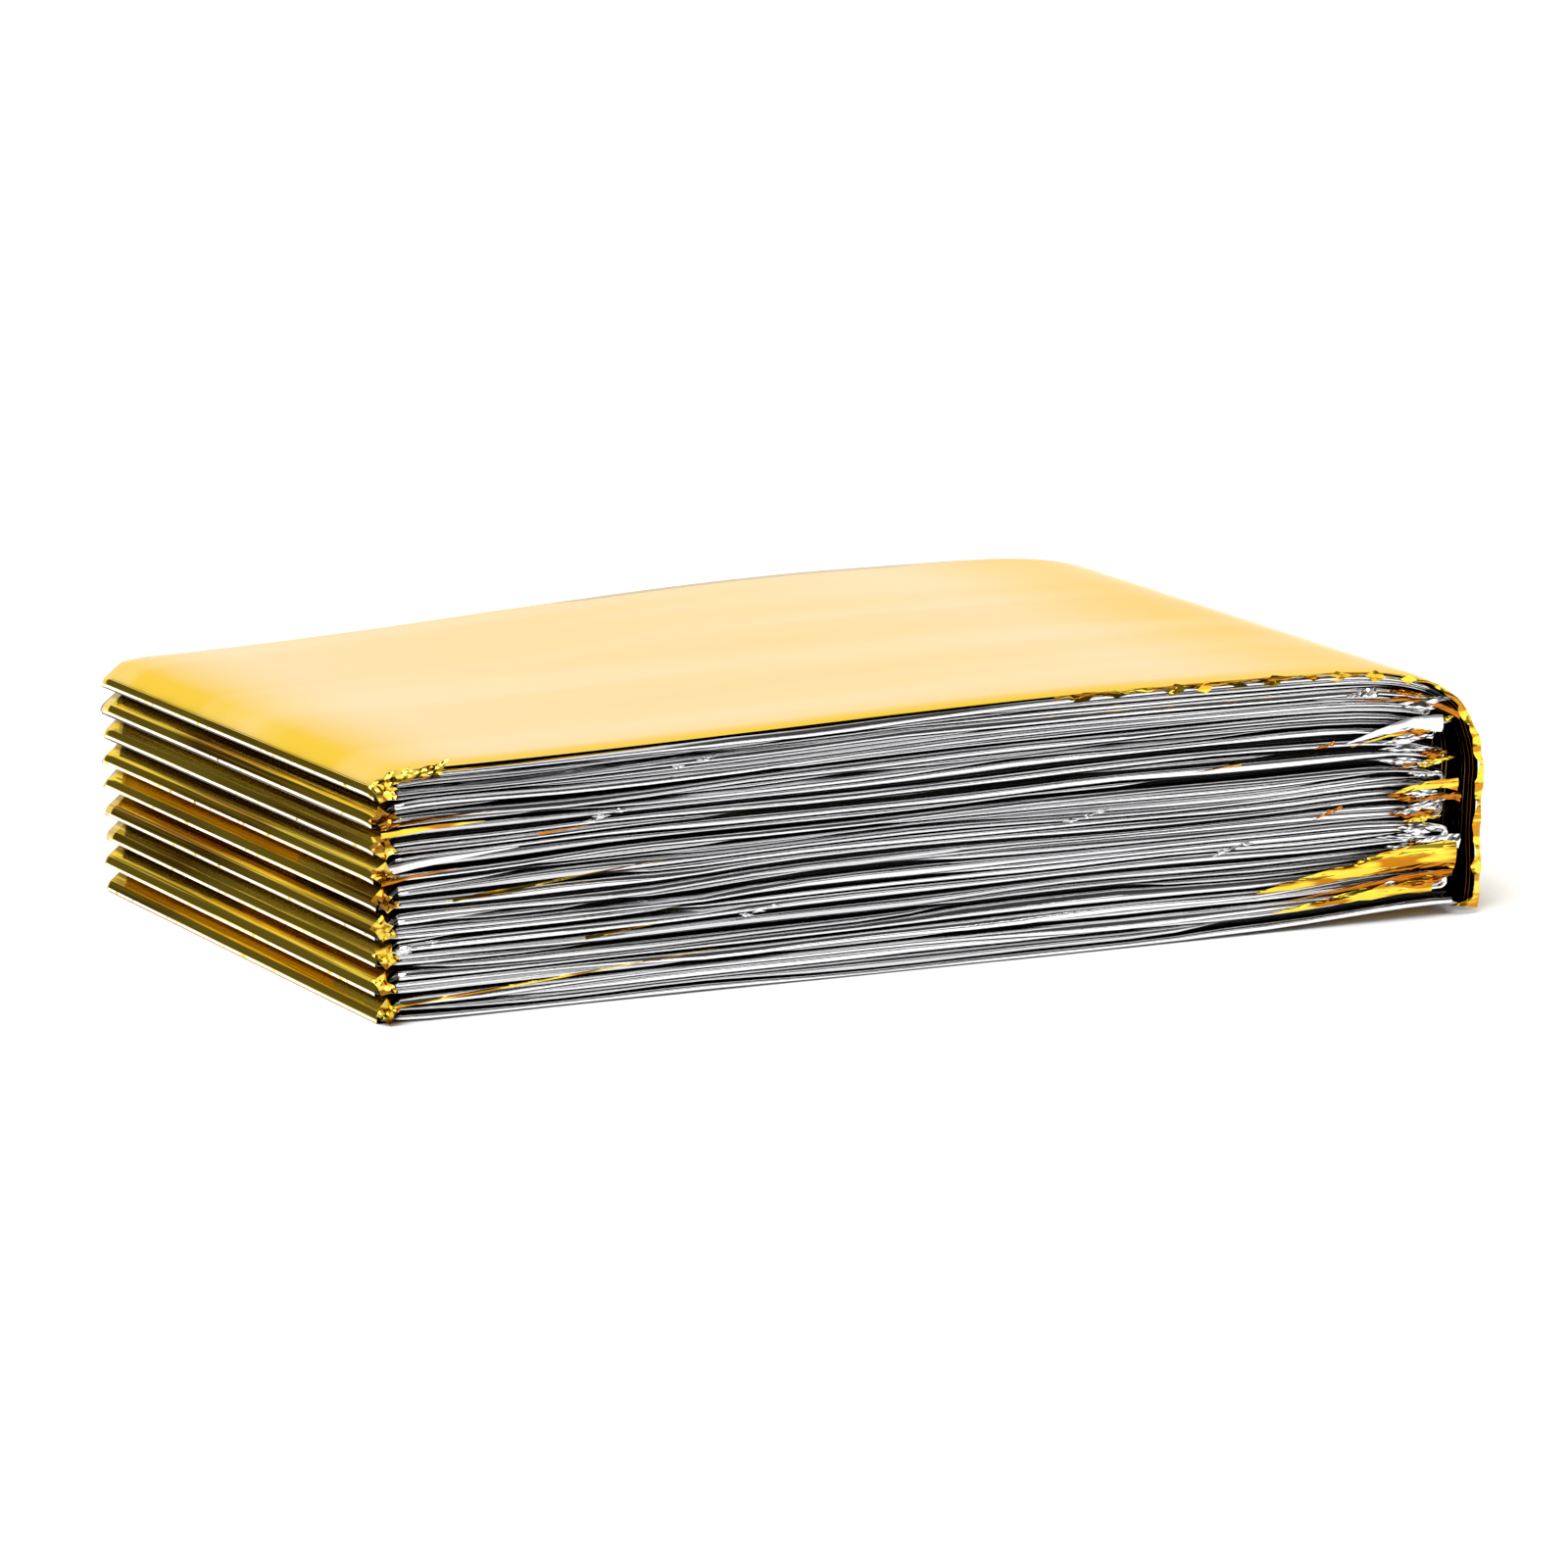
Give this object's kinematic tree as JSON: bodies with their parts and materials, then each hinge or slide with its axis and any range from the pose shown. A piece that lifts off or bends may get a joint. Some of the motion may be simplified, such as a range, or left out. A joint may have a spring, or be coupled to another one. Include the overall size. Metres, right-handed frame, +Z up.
{
  "type": "emergency foil blanket",
  "caption": "Sheet of gold and silver metallised film, pleated into a narrow strip and folded back and forth into a thick packet, its top layer hanging down over one end.",
  "frame": {"origin": "middle of the packet's underside, on the surface that it lies on", "axes": "+X from the folded gold end to the wrapped end, -Y towards the long side where the silver pleats show, +Z up through the layers"},
  "size_m": [0.125, 0.076, 0.029],
  "materials": {
    "metallised_film": "bright metallised polyester film, gold on one face and silver on the other, softly creased"
  },
  "bodies": {
    "root": {"folded_foil": "metallised_film"}
  },
  "joints": []
}
